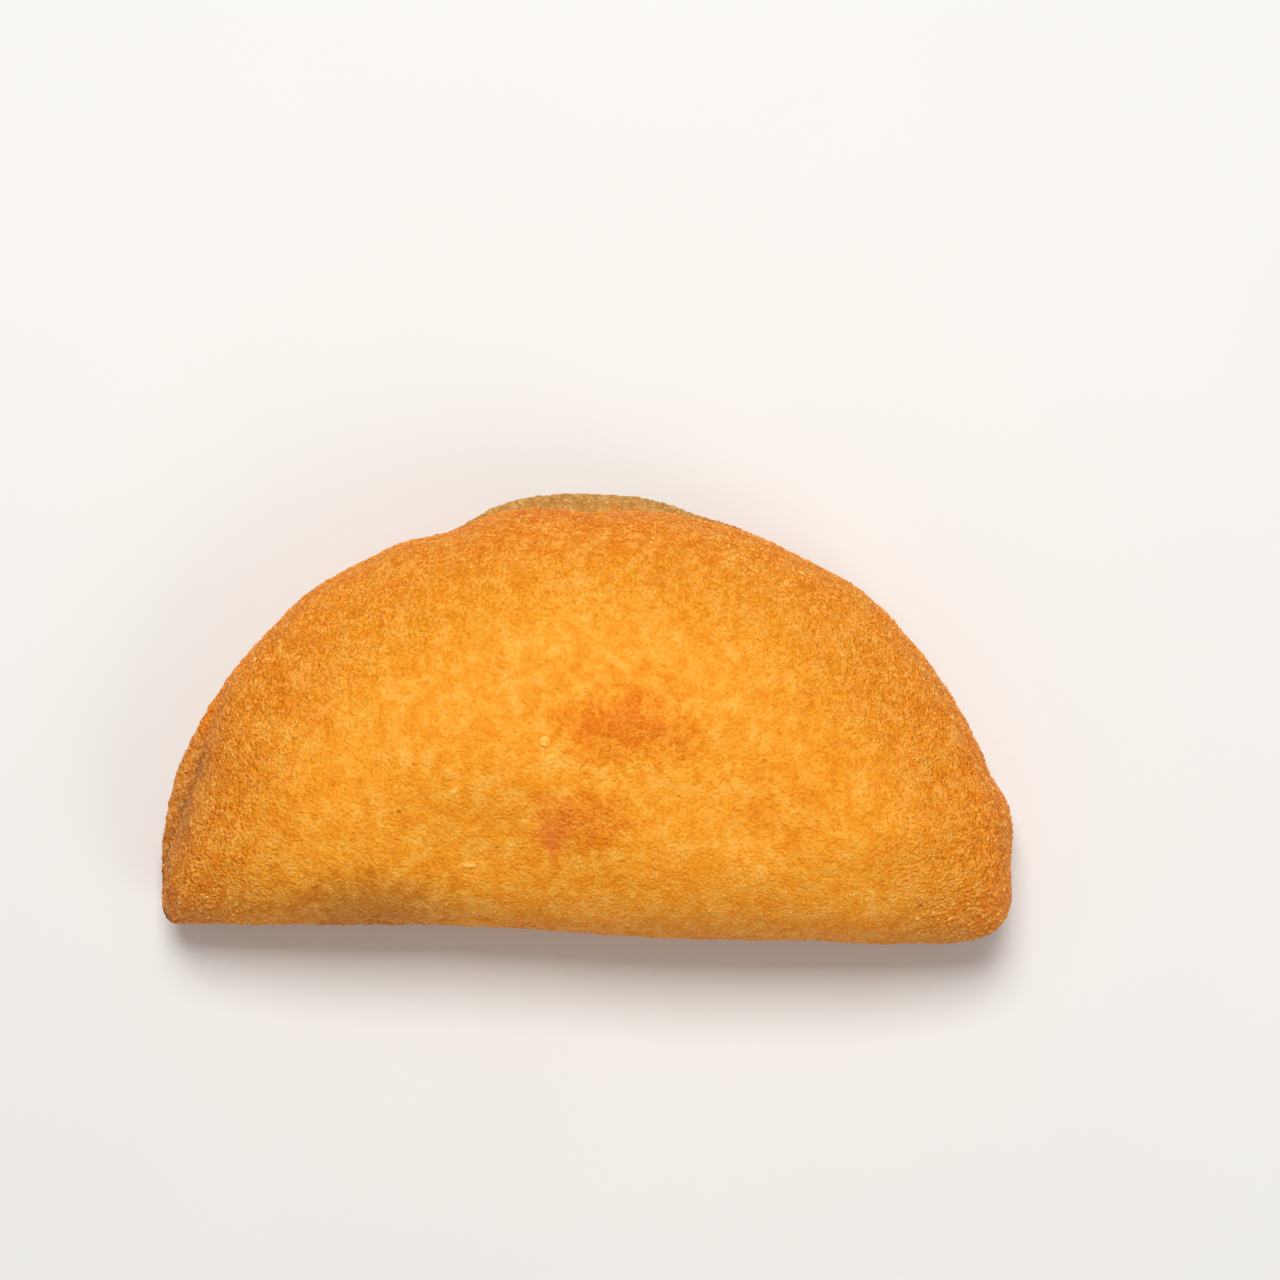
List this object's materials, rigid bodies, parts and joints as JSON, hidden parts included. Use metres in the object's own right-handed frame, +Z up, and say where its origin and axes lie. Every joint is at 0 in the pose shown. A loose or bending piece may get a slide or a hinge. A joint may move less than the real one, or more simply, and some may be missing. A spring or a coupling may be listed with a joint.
{
  "type": "meat rissole",
  "caption": "Half-moon fried rissole: a domed, crumb-coated dough parcel with one rounded folded side, a sealed curved edge and a flat underside.",
  "frame": {"origin": "on the resting plane, under the middle of the bounding box", "axes": "+X along the fold, +Y from the fold towards the sealed curved edge, +Z up"},
  "size_m": [0.0922, 0.049, 0.0235],
  "materials": {
    "crumbed_crust": "golden fried crumb, matt with a faint sheen of oil"
  },
  "bodies": {
    "root": {"rissole": "crumbed_crust"}
  },
  "joints": []
}
